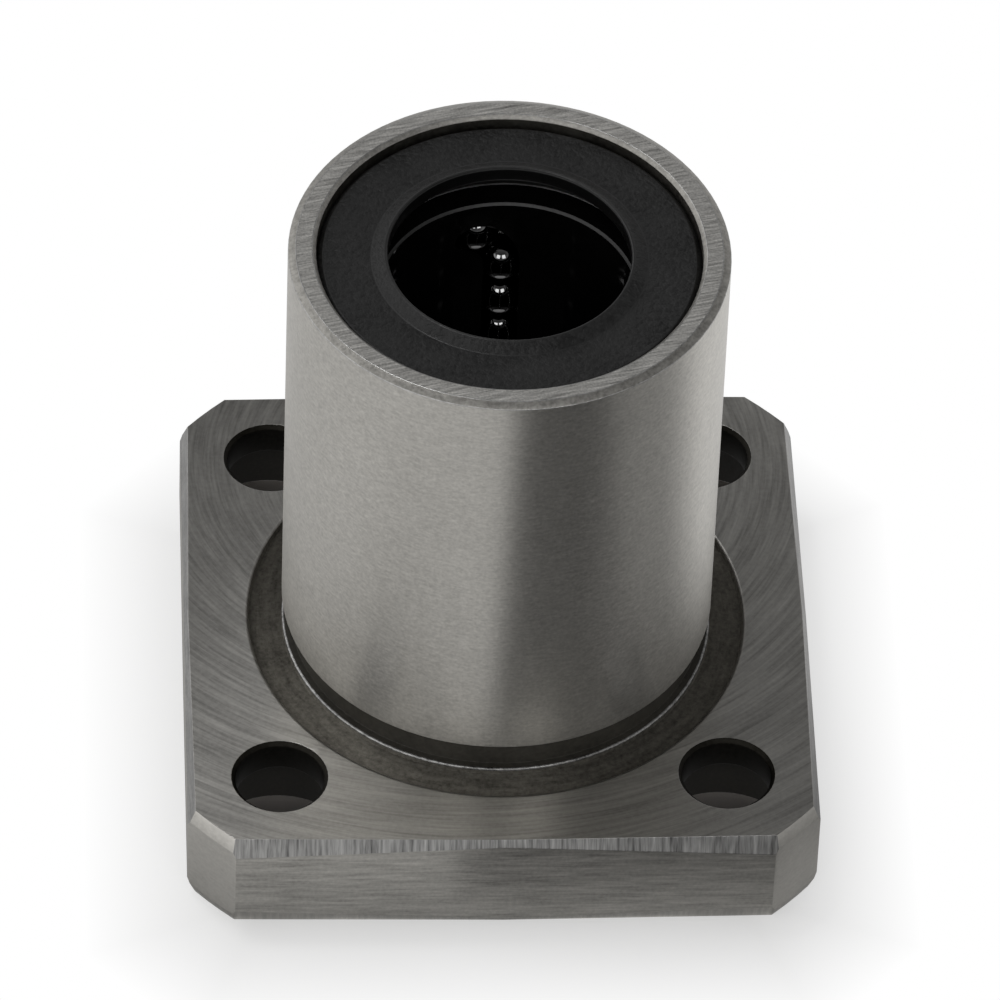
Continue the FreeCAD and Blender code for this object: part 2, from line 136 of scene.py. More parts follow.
def place(tree, kind, inputs=None, **settings):
    """Adds a node, sets its properties and feeds its inputs by name."""
    made = tree.nodes.new(kind)
    for name, value in settings.items():
        setattr(made, name, value)
    for name, value in (inputs or {}).items():
        write(tree, made.inputs[name], value)
    return made


def reckon(tree, operation, *values):
    """One sum in a tree."""
    made = place(tree, "ShaderNodeMath", operation=operation)
    for socket, value in zip(made.inputs, values):
        write(tree, socket, value)
    return made.outputs[0]


def vector_sum(tree, operation, *values):
    """One vector sum in a tree."""
    made = place(tree, "ShaderNodeVectorMath", operation=operation)
    vectors = [socket for socket in made.inputs if socket.type == "VECTOR"]
    for socket, value in zip(vectors, values):
        write(tree, socket, value)
    return made


def remap(tree, value, low, high, to_low, to_high):
    """Moves a value from one range to another and holds it there."""
    feeds = {"Value": value, "From Min": low, "From Max": high, "To Min": to_low, "To Max": to_high}
    return place(tree, "ShaderNodeMapRange", feeds).outputs[0]


def mix_colours(tree, share, first, second):
    made = place(tree, "ShaderNodeMix", data_type="RGBA")
    sockets = {socket.identifier: socket for socket in made.inputs}
    for name, value in (("Factor_Float", share), ("A_Color", first), ("B_Color", second)):
        write(tree, sockets[name], value)
    return next(socket for socket in made.outputs if socket.identifier == "Result_Color")


def noise(tree, vector, scale=1.0, detail=2.0, rough=0.5):
    feeds = {"Vector": vector, "Scale": scale, "Detail": detail, "Roughness": rough}
    return place(tree, "ShaderNodeTexNoise", feeds, noise_dimensions="3D").outputs[0]


def combine(tree, x, y, z):
    return place(tree, "ShaderNodeCombineXYZ", {"X": x, "Y": y, "Z": z}).outputs[0]


def new_group(name, inputs, outputs):
    """An empty shader node group, with its input sockets by name and its output sockets by name."""
    tree = bpy.data.node_groups.new(name, "ShaderNodeTree")
    for label, value in inputs.items():
        kind = "NodeSocketVector" if isinstance(value, tuple) else "NodeSocketFloat"
        tree.interface.new_socket(label, in_out="INPUT", socket_type=kind).default_value = value
    for label in outputs:
        tree.interface.new_socket(label, in_out="OUTPUT", socket_type="NodeSocketFloat")
    return tree, tree.nodes.new("NodeGroupInput").outputs, tree.nodes.new("NodeGroupOutput").inputs


def spot_in_millimetres(tree):
    """Where a point of the surface lies in the bearing's own frame, in millimetres."""
    spot = place(tree, "ShaderNodeTexCoord").outputs["Object"]
    return vector_sum(tree, "MULTIPLY", spot, (1 / MM, 1 / MM, 1 / MM)).outputs[0]


def split(tree, vector):
    parts = place(tree, "ShaderNodeSeparateXYZ", {"Vector": vector}).outputs
    return parts["X"], parts["Y"], parts["Z"]


def flat_length(tree, x, y):
    """How long a step of x and y is."""
    squares = [reckon(tree, "MULTIPLY", part, part) for part in (x, y)]
    return reckon(tree, "SQRT", reckon(tree, "ADD", *squares))


def screw_hole_steps(tree, hole_place):
    """The steps in x and y from the nearest screw hole's middle to a point, and how far that is."""
    x, y, _ = split(tree, spot_in_millimetres(tree))
    steps = [reckon(tree, "SUBTRACT", reckon(tree, "ABSOLUTE", part), hole_place) for part in (x, y)]
    return steps, flat_length(tree, *steps)


def make_straight_lines():
    """Fine parallel marks: Stretch gives how fast they change along each direction."""
    values = {"Stretch": (1.0, 1.0, 1.0), "Turn": 0.0}
    tree, given, result = new_group("straight_lines", values, ["Lines", "Bands"])
    feeds = {"Vector": spot_in_millimetres(tree), "Angle": given["Turn"]}
    turned = place(tree, "ShaderNodeVectorRotate", feeds, rotation_type="Z_AXIS").outputs[0]
    drawn = vector_sum(tree, "MULTIPLY", turned, given["Stretch"]).outputs[0]
    write(tree, result["Lines"], noise(tree, drawn, detail=3.0, rough=0.65))
    write(tree, result["Bands"], noise(tree, drawn, scale=0.16))
    return tree


def make_turned_lines():
    """Fine arcs round a centre, as a grinding cup leaves them, with a slow change of tone."""
    values = {"Centre": (0.0, 0.0, 0.0), "Fineness": 6.0, "Waver": 1.0}
    tree, given, result = new_group("turned_lines", values, ["Lines", "Bands"])
    from_centre = vector_sum(tree, "SUBTRACT", spot_in_millimetres(tree), given["Centre"]).outputs[0]
    x, y, _ = split(tree, from_centre)
    reach = flat_length(tree, x, y)
    way = [reckon(tree, "DIVIDE", part, reach) for part in (x, y)]
    around = [reckon(tree, "MULTIPLY", part, given["Waver"]) for part in way]
    ring = reckon(tree, "MULTIPLY", reach, given["Fineness"])
    write(tree, result["Lines"], noise(tree, combine(tree, *around, ring), detail=3.0, rough=0.65))
    slow_ring = reckon(tree, "MULTIPLY", reach, 0.5)
    write(tree, result["Bands"], noise(tree, combine(tree, *around, slow_ring), scale=1.3))
    return tree


def make_edge_ticks():
    """Short marks across the flange's bevelled edges, as a file or belt leaves them."""
    tree, given, result = new_group("edge_ticks", {"Fineness": 5.0}, ["Ticks", "Bands"])
    x, y, z = split(tree, spot_in_millimetres(tree))
    front_or_back = reckon(tree, "GREATER_THAN", reckon(tree, "ABSOLUTE", y), reckon(tree, "ABSOLUTE", x))
    along_x = reckon(tree, "MULTIPLY", x, front_or_back)
    along_y = reckon(tree, "MULTIPLY", y, reckon(tree, "SUBTRACT", 1.0, front_or_back))
    along = reckon(tree, "MULTIPLY", reckon(tree, "ADD", along_x, along_y), given["Fineness"])
    slow_rise = reckon(tree, "MULTIPLY", z, 0.35)
    ticks = noise(tree, combine(tree, along, front_or_back, slow_rise), detail=3.0, rough=0.7)
    write(tree, result["Ticks"], ticks)
    write(tree, result["Bands"], noise(tree, combine(tree, along, front_or_back, z), scale=0.2))
    return tree


def make_bore_rings():
    """Rings round each screw hole, as the counterboring tool leaves them."""
    values = {"Hole Place": BOLT_PLACE, "Fineness": 4.0}
    tree, given, result = new_group("bore_rings", values, ["Rings"])
    steps, reach = screw_hole_steps(tree, given["Hole Place"])
    ring = reckon(tree, "MULTIPLY", reach, given["Fineness"])
    around = [reckon(tree, "MULTIPLY", part, 0.35) for part in steps]
    write(tree, result["Rings"], noise(tree, combine(tree, *around, ring), rough=0.6))
    return tree


def make_speckle():
    """Fine grain and broad patches, for satin ground metal, scale and rubber."""
    tree, given, result = new_group("speckle", {"Fineness": 8.0}, ["Grain", "Patches"])
    spot = spot_in_millimetres(tree)
    write(tree, result["Grain"], noise(tree, spot, scale=given["Fineness"], rough=0.6))
    write(tree, result["Patches"], noise(tree, spot, scale=0.45, detail=3.0))
    return tree


EFFECTS = {
    "straight_lines": make_straight_lines(),
    "turned_lines": make_turned_lines(),
    "edge_ticks": make_edge_ticks(),
    "bore_rings": make_bore_rings(),
    "speckle": make_speckle(),
}


def effect(tree, name, **values):
    """Places one of the shared effects in a material with its own values."""
    made = tree.nodes.new("ShaderNodeGroup")
    made.node_tree = EFFECTS[name]
    for label, value in values.items():
        made.inputs[label.replace("_", " ")].default_value = value
    return made.outputs


def new_material(name):
    material = bpy.data.materials.new(name)
    material.use_nodes = True
    tree = material.node_tree
    return material, tree, tree.nodes["Principled BSDF"]


def grey(level, warmth=0.03):
    """A steel tone: a grey that leans a little to yellow, as the bearing's does."""
    return (level * (1 + warmth), level, level * (1 - BLUE_LOSS * warmth), 1.0)


def marks_round(tree, centre):
    """The way that marks run when they are arcs round an upright line through a centre."""
    x, y, _ = split(tree, vector_sum(tree, "SUBTRACT", spot_in_millimetres(tree), centre).outputs[0])
    return combine(tree, reckon(tree, "MULTIPLY", y, -1.0), x, 0.0)


def add_relief(tree, shader, marks, depth):
    """Gives a finish the relief of its marks, depth micrometres deep."""
    feeds = {"Height": marks, "Distance": depth * MICROMETRE, "Strength": 1.0}
    write(tree, shader.inputs["Normal"], place(tree, "ShaderNodeBump", feeds).outputs[0])


def metal(name, pattern, tones, gloss, relief=0.0, stretch=0.0, centre=AXIS, edge_tint=1.0):
    """A metal finish whose tone, gloss and relief follow one pattern.

    pattern gives a mask from 0 to 1, tones are its two colours, gloss its two roughnesses, relief the
    depth of its marks in micrometres, and stretch how far the marks draw reflections out across them.
    The marks run round centre. edge_tint is how bright its reflections are at a flat angle.
    """
    material, tree, shader = new_material(name)
    marks = pattern(tree)
    shader.inputs["Metallic"].default_value = 1.0
    shader.inputs["Specular Tint"].default_value = (edge_tint, edge_tint, edge_tint, 1.0)
    write(tree, shader.inputs["Base Color"], mix_colours(tree, marks, *tones))
    write(tree, shader.inputs["Roughness"], remap(tree, marks, 0.0, 1.0, *gloss))
    if relief:
        add_relief(tree, shader, marks, relief)
    if stretch:
        shader.inputs["Anisotropic"].default_value = stretch
        shader.inputs["Anisotropic Rotation"].default_value = QUARTER_TURN
        write(tree, shader.inputs["Tangent"], marks_round(tree, centre))
    return material


def weighed(tree, *parts):
    """Adds masks by weight and spreads what comes out over 0 to 1."""
    total = 0.0
    for mask, weight in parts:
        total = reckon(tree, "ADD", reckon(tree, "MULTIPLY", mask, weight), total)
    return remap(tree, total, MASK_LOW, MASK_HIGH, 0.0, 1.0)


def sleeve_grain(tree):
    lines = effect(tree, "straight_lines", Stretch=(2.2, 2.2, 6.0))
    grain = effect(tree, "speckle", Fineness=6.0)
    return weighed(tree, (lines["Lines"], 0.5), (grain["Grain"], 0.4), (grain["Patches"], 0.1))


def rim_lines(tree):
    lines = effect(tree, "straight_lines", Stretch=(0.5, 7.0, 1.0), Turn=math.radians(-14))
    grain = effect(tree, "speckle", Fineness=9.0)
    return weighed(tree, (lines["Lines"], 0.7), (grain["Grain"], 0.3))


def back_arcs(tree):
    lines = effect(tree, "turned_lines", Centre=CUP_CENTRE, Fineness=5.0, Waver=4.0)
    grain = effect(tree, "speckle", Fineness=4.0)
    return weighed(tree, (lines["Lines"], 0.6), (lines["Bands"], 0.2), (grain["Grain"], 0.2))


def front_lines(tree):
    lines = effect(tree, "straight_lines", Stretch=(0.35, 6.0, 1.0))
    grain = effect(tree, "speckle", Fineness=6.0)
    return weighed(tree, (lines["Lines"], 0.6), (lines["Bands"], 0.2), (grain["Grain"], 0.2))


def side_lines(tree):
    lines = effect(tree, "straight_lines", Stretch=(0.4, 0.4, 5.0))
    grain = effect(tree, "speckle", Fineness=5.0)
    return weighed(tree, (lines["Lines"], 0.7), (grain["Grain"], 0.3))


def tick_marks(tree):
    ticks = effect(tree, "edge_ticks", Fineness=4.5)
    return weighed(tree, (ticks["Ticks"], 0.75), (ticks["Bands"], 0.25))


def recess_rings(tree):
    rings = effect(tree, "turned_lines", Fineness=3.0, Waver=6.0)
    grain = effect(tree, "speckle", Fineness=5.0)
    return weighed(tree, (rings["Lines"], 0.5), (grain["Grain"], 0.5))


def seat_rings(tree):
    rings = effect(tree, "bore_rings", Fineness=4.0)
    grain = effect(tree, "speckle", Fineness=5.0)
    return weighed(tree, (rings["Rings"], 0.7), (grain["Grain"], 0.3))


def scale_patches(tree):
    grain = effect(tree, "speckle", Fineness=4.0)
    return weighed(tree, (grain["Grain"], 0.5), (grain["Patches"], 0.5))


def broken_edge(tree):
    grain = effect(tree, "speckle", Fineness=3.0)
    fine = effect(tree, "speckle", Fineness=8.0)
    return weighed(tree, (grain["Grain"], 0.4), (fine["Grain"], 0.35), (grain["Patches"], 0.25))


def black_solid(name, tones, gloss, fineness, relief, specular, warmth=0.0):
    """A black finish that isn't bare metal, with a fine grain, relief micrometres deep.

    tones are its two greys, gloss its two roughnesses and specular how strongly it mirrors.
    """
    material, tree, shader = new_material(name)
    grain = effect(tree, "speckle", Fineness=fineness)
    marks = weighed(tree, (grain["Grain"], 0.6), (grain["Patches"], 0.4))
    colours = [grey(tone, warmth) for tone in tones]
    write(tree, shader.inputs["Base Color"], mix_colours(tree, marks, *colours))
    write(tree, shader.inputs["Roughness"], remap(tree, marks, 0.0, 1.0, *gloss))
    add_relief(tree, shader, marks, relief)
    shader.inputs["Specular IOR Level"].default_value = specular
    return material


METALS = {
    "ground_sleeve": dict(
        pattern=sleeve_grain, tones=(grey(0.4), grey(0.65)), gloss=(0.35, 0.4), relief=1.2, stretch=0.75
    ),
    "ground_rim": dict(
        pattern=rim_lines, tones=(grey(0.2, 0.02), grey(0.95, 0.02)), gloss=(0.34, 0.44),
        relief=6.0, stretch=0.4, centre=FAR_CENTRE,
    ),
    "rim_bevel": dict(
        pattern=sleeve_grain, tones=(grey(0.18), grey(0.46)), gloss=(0.4, 0.5), relief=3.0
    ),
    "ground_back": dict(
        pattern=back_arcs, tones=(grey(0.23, 0.025), grey(0.5, 0.025)), gloss=(0.3, 0.37),
        relief=3.0, stretch=0.7, centre=CUP_CENTRE,
    ),
    "brushed_front": dict(
        pattern=front_lines, tones=(grey(0.42), grey(0.54)), gloss=(0.36, 0.46),
        relief=2.0, stretch=0.5, centre=FAR_CENTRE,
    ),
    "milled_side": dict(
        pattern=side_lines, tones=(grey(0.29), grey(0.57)), gloss=(0.36, 0.46), relief=3.0, stretch=0.5
    ),
    "edge_bevel": dict(
        pattern=tick_marks, tones=(grey(0.05, 0.01), grey(0.66, 0.01)), gloss=(0.36, 0.48), relief=6.0
    ),
    "foot_bevel": dict(
        pattern=tick_marks, tones=(grey(0.34), grey(0.58)), gloss=(0.4, 0.5), relief=2.0
    ),
    "side_bevel": dict(
        pattern=side_lines, tones=(grey(0.22, 0.01), grey(0.44, 0.01)), gloss=(0.4, 0.5), relief=2.0
    ),
    "corner_facet": dict(
        pattern=sleeve_grain, tones=(grey(0.45), grey(0.57)), gloss=(0.34, 0.42), relief=1.5, stretch=0.4
    ),
    "head_seat": dict(
        pattern=seat_rings, tones=(grey(0.14, 0.04), grey(0.48, 0.02)), gloss=(0.36, 0.5), relief=8.0
    ),
    "dark_recess": dict(
        pattern=recess_rings, tones=(grey(0.08, 0.07), grey(0.26, 0.06)), gloss=(0.56, 0.64),
        relief=3.0, stretch=0.9,
    ),
    # The screw holes' walls: scale, painted near black, partly its own colour and partly painted shade deep in
    # the holes
    "black_scale_and_hole_shade": dict(
        pattern=scale_patches, tones=(grey(0.009, 0.09), grey(0.027, 0.07)), gloss=(0.5, 0.6), relief=2.0
    ),
    "end_bore": dict(
        pattern=scale_patches, tones=(grey(0.1, 0.06), grey(0.22, 0.05)), gloss=(0.36, 0.5), relief=2.0
    ),
    "raceway": dict(
        pattern=sleeve_grain, tones=(grey(0.5, 0.01), grey(0.62, 0.01)), gloss=(0.22, 0.3), relief=0.6
    ),
    "worn_edge": dict(
        pattern=broken_edge, tones=(grey(0.2, 0.01), grey(0.66, 0.01)), gloss=(0.3, 0.42), relief=4.0
    ),
    "rubbed_boss": dict(
        pattern=broken_edge, tones=(grey(0.02, 0.01), grey(0.6, 0.01)), gloss=(0.3, 0.42), relief=12.0
    ),
    "spring_steel": dict(
        pattern=side_lines, tones=(grey(0.3, 0.0), grey(0.46, 0.0)), gloss=(0.3, 0.42), relief=1.5
    ),
    "resin_edge": dict(
        pattern=scale_patches, tones=(grey(0.05, 0.0), grey(0.09, 0.0)), gloss=(0.44, 0.54), relief=1.0
    ),
    "plate_edge": dict(
        pattern=side_lines, tones=(grey(0.66, 0.0), grey(0.86, 0.0)), gloss=(0.44, 0.54), relief=1.0
    ),
    # The balls' steel is painted dark grey, with weak reflections at a flat angle: painted shade for the dark
    # bore round them
    "polished_ball_painted_dark": dict(
        pattern=scale_patches, tones=(grey(0.2, 0.0), grey(0.25, 0.0)), gloss=(0.04, 0.08), edge_tint=0.1
    ),
}
BLACKS = {
    "dark_scale": dict(
        tones=(0.024, 0.05), gloss=(0.5, 0.62), fineness=4.0, relief=3.0, specular=0.3, warmth=0.08
    ),
    "wiper_rubber": dict(tones=(0.0, 0.021), gloss=(0.36, 0.6), fineness=3.5, relief=55.0, specular=0.38),
    "rubber_edge": dict(tones=(0.006, 0.014), gloss=(0.32, 0.44), fineness=7.0, relief=2.0, specular=0.5),
    # The throat's rubber is darker and mirrors less than the face: painted shade
    "wiper_throat_painted_dark": dict(tones=(0.003, 0.006), gloss=(0.3, 0.4), fineness=6.0, relief=1.0, specular=0.15),
    "cage_resin": dict(tones=(0.002, 0.004), gloss=(0.05, 0.1), fineness=2.0, relief=0.6, specular=0.15),
}
FINISHES = {name: metal(name, **values) for name, values in METALS.items()}
FINISHES |= {name: black_solid(name, **values) for name, values in BLACKS.items()}

# The finishes that each fixed piece wears
STEEL = (
    "ground_sleeve", "ground_rim", "rim_bevel", "ground_back", "brushed_front", "milled_side",
    "edge_bevel", "foot_bevel", "side_bevel", "corner_facet", "head_seat", "dark_recess",
    "dark_scale", "black_scale_and_hole_shade", "end_bore", "raceway", "worn_edge", "rubbed_boss",
)
RUBBER = ("wiper_rubber", "rubber_edge", "wiper_throat_painted_dark", "plate_edge")
RESIN = ("cage_resin", "resin_edge")


def merged_copy(node):
    """A working copy of a CAD node in millimetres, its loose triangles joined and its flats made whole."""
    work = bmesh.new()
    work.from_mesh(frame["nodes"][node].data)
    bmesh.ops.scale(work, vec=(1 / MM, 1 / MM, 1 / MM), verts=work.verts)
    bmesh.ops.remove_doubles(work, verts=work.verts, dist=JOIN_GAP)
    bmesh.ops.dissolve_limit(work, angle_limit=FLAT_ANGLE, verts=work.verts, edges=work.edges)
    return work


def round_off(work, edges, width, steps):
    """Rounds edges off and returns the faces of the new strips."""
    softened = bmesh.ops.bevel(
        work,
        geom=edges,
        offset=width,
        offset_type="OFFSET",
        segments=steps,
        profile=0.5,
        affect="EDGES",
        clamp_overlap=True,
        material=-1,
    )
    return set(softened["faces"])


def is_ring(edge, radius, height):
    """Whether an edge lies on a circle round the shaft hole."""
    return all(
        abs(math.hypot(vert.co.x, vert.co.y) - radius) < NEAR and abs(vert.co.z - height) < NEAR
        for vert in edge.verts
    )


def soften_edges(work, width, wide_rings=()):
    """Takes the knife edge off every sharp edge and returns the new strips' faces.

    wide_rings are the (radius, height, width) of circles that are rounded off further than the rest.
    """
    sharp = [edge for edge in work.edges if edge.is_manifold and edge.calc_face_angle() > EDGE_ANGLE]
    strips = set()
    for radius, height, ring_width in wide_rings:
        ring = [edge for edge in sharp if edge.is_valid and is_ring(edge, radius, height)]
        strips |= round_off(work, ring, ring_width, WIDE_EDGE_STEPS)
    rest = [edge for edge in sharp if edge.is_valid and not strips & set(edge.link_faces)]
    return strips | round_off(work, rest, width, EDGE_STEPS)


def to_plain_mesh(piece):
    """Turns a piece's modifiers into its own mesh."""
    depsgraph = bpy.context.evaluated_depsgraph_get()
    seen = piece.evaluated_get(depsgraph)
    plain = bpy.data.meshes.new_from_object(seen, preserve_all_data_layers=True, depsgraph=depsgraph)
    piece.modifiers.clear()
    piece.data = plain


def finished_piece(name, work, finishes):
    """A piece in metres from a working copy, shaded smoothly with its flats kept flat."""
    bmesh.ops.scale(work, vec=(MM, MM, MM), verts=work.verts)
    for face in work.faces:
        face.smooth = True
    mesh = bpy.data.meshes.new(name)
    work.to_mesh(mesh)
    work.free()
    for finish in finishes:
        mesh.materials.append(FINISHES[finish])
    piece = bpy.data.objects.new(name, mesh)
    bpy.context.scene.collection.objects.link(piece)
    shading = piece.modifiers.new("even_shading", "WEIGHTED_NORMAL")
    shading.keep_sharp = True
    thirds = piece.modifiers.new("triangles", "TRIANGULATE")
    thirds.keep_custom_normals = True
    to_plain_mesh(piece)
    return piece


def screw_hole_finish(normal, height):
    """Finishes inside a screw hole and its counterbore."""
    # Above the head seat the wall is painted near black: scale and painted shade
    if height > HEAD_SEAT + NEAR:
        return "black_scale_and_hole_shade"
    return "dark_scale" if abs(normal.z) < WALL_TILT else "head_seat"


def flange_edge_finish(normal):
    """Finishes round the outside of the flange, between its two faces."""
    if normal.z < -NEAR:
        return "foot_bevel"
    larger = max(abs(normal.x), abs(normal.y))
    smaller = min(abs(normal.x), abs(normal.y))
    at_corner = smaller > larger / 2
    upright = abs(normal.z) < NEAR
    if at_corner:
        return "corner_facet"
    if upright:
        return "milled_side"
    return "edge_bevel" if abs(normal.y) > abs(normal.x) else "side_bevel"


def outside_finish(normal, height):
    """Finishes of the sleeve's outside, from the seat recess up to the rim's bevel."""
    if height < FLANGE_BACK - SLACK:
        return "dark_recess"
    if height < NECK_TOP:
        return "dark_scale"
    return "ground_sleeve" if abs(normal.z) < NEAR else "rim_bevel"


def inside_finish(normal, radius, height):
    """Finishes of the bore, from the flange's mouth to the rim."""
    if abs(normal.z) > NEAR and height < MOUTH_DEPTH:
        return "corner_facet"
    if abs(normal.z) > NEAR and height > SLEEVE_TOP - RIM_DEPTH:
        return "rim_bevel"
    return "end_bore" if abs(radius - SEAL_RADIUS) < SLACK else "raceway"


def mean_reach(face):
    """How far a face lies from the middle of the shaft hole, as the mean of its corners."""
    return sum(math.hypot(vert.co.x, vert.co.y) for vert in face.verts) / len(face.verts)


def faces_shaft(face):
    centre = face.calc_center_median()
    return face.normal.x * centre.x + face.normal.y * centre.y < -NEAR


def hole_reach(face):
    """How far the farthest corner of a face lies from the middle of the nearest screw hole."""
    return max(
        math.hypot(abs(vert.co.x) - BOLT_PLACE, abs(vert.co.y) - BOLT_PLACE) for vert in face.verts
    )


def sleeve_finish(face):
    """Which finish a face of the flanged sleeve has, from where it lies and how it faces."""
    height = face.calc_center_median().z
    normal = face.normal
    radius = mean_reach(face)
    if normal.z > LEVEL and abs(height - SLEEVE_TOP) < NEAR:
        return "ground_rim"
    if normal.z > LEVEL and abs(height - FLANGE_BACK) < NEAR:
        return "ground_back"
    if normal.z < -LEVEL and abs(height) < NEAR:
        return "brushed_front"
    if hole_reach(face) < HEAD_BORE_REACH:
        return screw_hole_finish(normal, height)
    if radius > SEAT_RECESS_REACH:
        return flange_edge_finish(normal)
    outside = radius > SEAL_RADIUS + BORE_WALL and height > FLANGE_BACK - BACK_DEPTH
    if outside and not faces_shaft(face):
        return outside_finish(normal, height)
    if radius > SLEEVE_RADIUS:
        return "dark_recess"
    return inside_finish(normal, radius, height)


def edge_strip_finish(face):
    """The finish of an edge strip that is rubbed bright, on the rim or the boss under the neck, or None."""
    radius = mean_reach(face)
    height = face.calc_center_median().z
    if height > PILOT_TOP - SLACK and radius > SEAL_RADIUS + SLACK:
        return "worn_edge"
    near_boss = SLEEVE_RADIUS - 2 * SLACK < radius < SLEEVE_RADIUS + SLACK
    return "rubbed_boss" if near_boss and abs(height - BOSS_TOP) < BOSS_BAND else None


def make_flanged_sleeve():
    """The steel piece: its CAD form with the edges rounded off and a finish for each kind of face."""
    work = merged_copy("flanged_sleeve")
    for face in work.faces:
        face.material_index = STEEL.index(sleeve_finish(face))
    wide_rings = (
        (SEAT_RECESS_RADIUS, FLANGE_BACK, RECESS_EDGE_WIDTH),
        (SLEEVE_RADIUS, BOSS_TOP, BOSS_EDGE_WIDTH),
    )
    for face in soften_edges(work, EDGE_WIDTH, wide_rings):
        rubbed = edge_strip_finish(face)
        if rubbed:
            face.material_index = STEEL.index(rubbed)
    piece = finished_piece("sleeve_and_flange", work, STEEL)
    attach(piece, "housing")
    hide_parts("flanged_sleeve")


def add_ledge(work, radius, height, inward):
    """A narrow three-sided ledge along a circle round the shaft hole; returns its faces.

    Its slope looks at the shaft and out of the bearing; inward is the way into the wiper, +1 or -1.
    """
    section = (
        (radius + LEDGE_DEPTH, height),
        (radius - LEDGE_WIDTH, height),
        (radius + LEDGE_DEPTH, height + inward * (LEDGE_WIDTH + LEDGE_DEPTH)),
    )
    angles = [math.tau * step / ROUND_STEPS for step in range(ROUND_STEPS)]
    rings = [
        [work.verts.new((reach * math.cos(angle), reach * math.sin(angle), level)) for angle in angles]
        for reach, level in section
    ]
    faces = []
    for near, far in zip(rings, rings[1:] + rings[:1]):
        for here in range(ROUND_STEPS):
            there = (here + 1) % ROUND_STEPS
            faces.append(work.faces.new((near[here], near[there], far[there], far[here])))
    bmesh.ops.recalc_face_normals(work, faces=faces)
    return faces


def moulded_piece(name, node, work, finishes):
    piece = finished_piece(name, work, finishes)
    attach(piece, "housing")
    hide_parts(node)


def make_cage():
    """The resin cage: its CAD form with the edges rounded off and paler bevels at its two mouths."""
    work = merged_copy("ball_cage")
    low, high = (corner.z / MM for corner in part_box("ball_cage"))
    for face in work.faces:
        height = face.calc_center_median().z
        if faces_shaft(face) and min(height - low, high - height) < MOUTH_BEVEL:
            face.material_index = RESIN.index("resin_edge")
    soften_edges(work, CAGE_EDGE_WIDTH)
    moulded_piece("resin_cage", "ball_cage", work, RESIN)


def make_wiper(end, back_corner, inward):
    """A rubber wiper: its CAD form, edges rounded off, with a smooth, darker throat in painted shade, and a
    plate's edge at its back.

    back_corner picks the corner of the CAD box, low (0) or high (1), at the height of the back.
    """
    node = f"{end}_seal"
    work = merged_copy(node)
    for face in work.faces:
        # Painted shade: the throat gets the darker rubber
        if faces_shaft(face) and mean_reach(face) < WIPER_BACK_RADIUS:
            face.material_index = RUBBER.index("wiper_throat_painted_dark")
    for face in soften_edges(work, EDGE_WIDTH):
        face.material_index = RUBBER.index("rubber_edge")
    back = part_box(node)[back_corner].z / MM
    for face in add_ledge(work, WIPER_BACK_RADIUS, back, inward):
        face.material_index = RUBBER.index("plate_edge")
    moulded_piece(f"{end}_wiper", node, work, RUBBER)


def ball_centres(node):
    """The centre of each ball in a CAD node, in metres: the middle of each closed shell of its mesh."""
    work = bmesh.new()
    work.from_mesh(frame["nodes"][node].data)
    bmesh.ops.remove_doubles(work, verts=work.verts, dist=JOIN_GAP * MM)
    waiting = set(work.verts)
    centres = []
    while waiting:
        shell = set()
        front = [waiting.pop()]
        while front:
            vert = front.pop()
            shell.add(vert)
            for edge in vert.link_edges:
                other = edge.other_vert(vert)
                if other in waiting:
                    waiting.discard(other)
                    front.append(other)
        low, high = ([pick(vert.co[axis] for vert in shell) for axis in range(3)] for pick in (min, max))
        centres.append((Vector(low) + Vector(high)) / 2)
    work.free()
    return sorted(centres, key=lambda centre: centre.z)


def make_ball_tree():
    """A ball on every point that it is given."""
    tree = bpy.data.node_groups.new("balls_on_points", "GeometryNodeTree")
    tree.interface.new_socket("Points", in_out="INPUT", socket_type="NodeSocketGeometry")
    sockets = {
        "Radius": "NodeSocketFloat",
        "Subdivisions": "NodeSocketInt",
        "Finish": "NodeSocketMaterial",
    }
    for label, kind in sockets.items():
        tree.interface.new_socket(label, in_out="INPUT", socket_type=kind)
    tree.interface.new_socket("Balls", in_out="OUTPUT", socket_type="NodeSocketGeometry")
    given = tree.nodes.new("NodeGroupInput").outputs
    sizes = {"Radius": given["Radius"], "Subdivisions": given["Subdivisions"]}
    ball = place(tree, "GeometryNodeMeshIcoSphere", sizes).outputs["Mesh"]
    smooth = place(tree, "GeometryNodeSetShadeSmooth", {"Geometry": ball}).outputs[0]
    on_points = {"Points": given["Points"], "Instance": smooth}
    row = place(tree, "GeometryNodeInstanceOnPoints", on_points).outputs[0]
    real = place(tree, "GeometryNodeRealizeInstances", {"Geometry": row}).outputs[0]
    paint = {"Geometry": real, "Material": given["Finish"]}
    painted = place(tree, "GeometryNodeSetMaterial", paint).outputs[0]
    write(tree, tree.nodes.new("NodeGroupOutput").inputs["Balls"], painted)
    return tree


def make_ball_group(name, node, body, tree):
    """The balls of one stretch of a circuit, on the centres that the CAD node gives them."""
    mesh = bpy.data.meshes.new(name)
    mesh.from_pydata(ball_centres(node), [], [])
    # The balls wear the steel painted dark: painted shade for the dark bore
    mesh.materials.append(FINISHES["polished_ball_painted_dark"])
    piece = bpy.data.objects.new(name, mesh)
    bpy.context.scene.collection.objects.link(piece)
    row = piece.modifiers.new("balls", "NODES")
    row.node_group = tree
    values = {
        "Radius": BALL_RADIUS * MM,
        "Subdivisions": BALL_SUBDIVISIONS,
        "Finish": FINISHES["polished_ball_painted_dark"],
    }
    for socket in tree.interface.items_tree:
        if socket.in_out == "INPUT" and socket.name in values:
            row[socket.identifier] = values[socket.name]
    to_plain_mesh(piece)
    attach(piece, body)
    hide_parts(node)


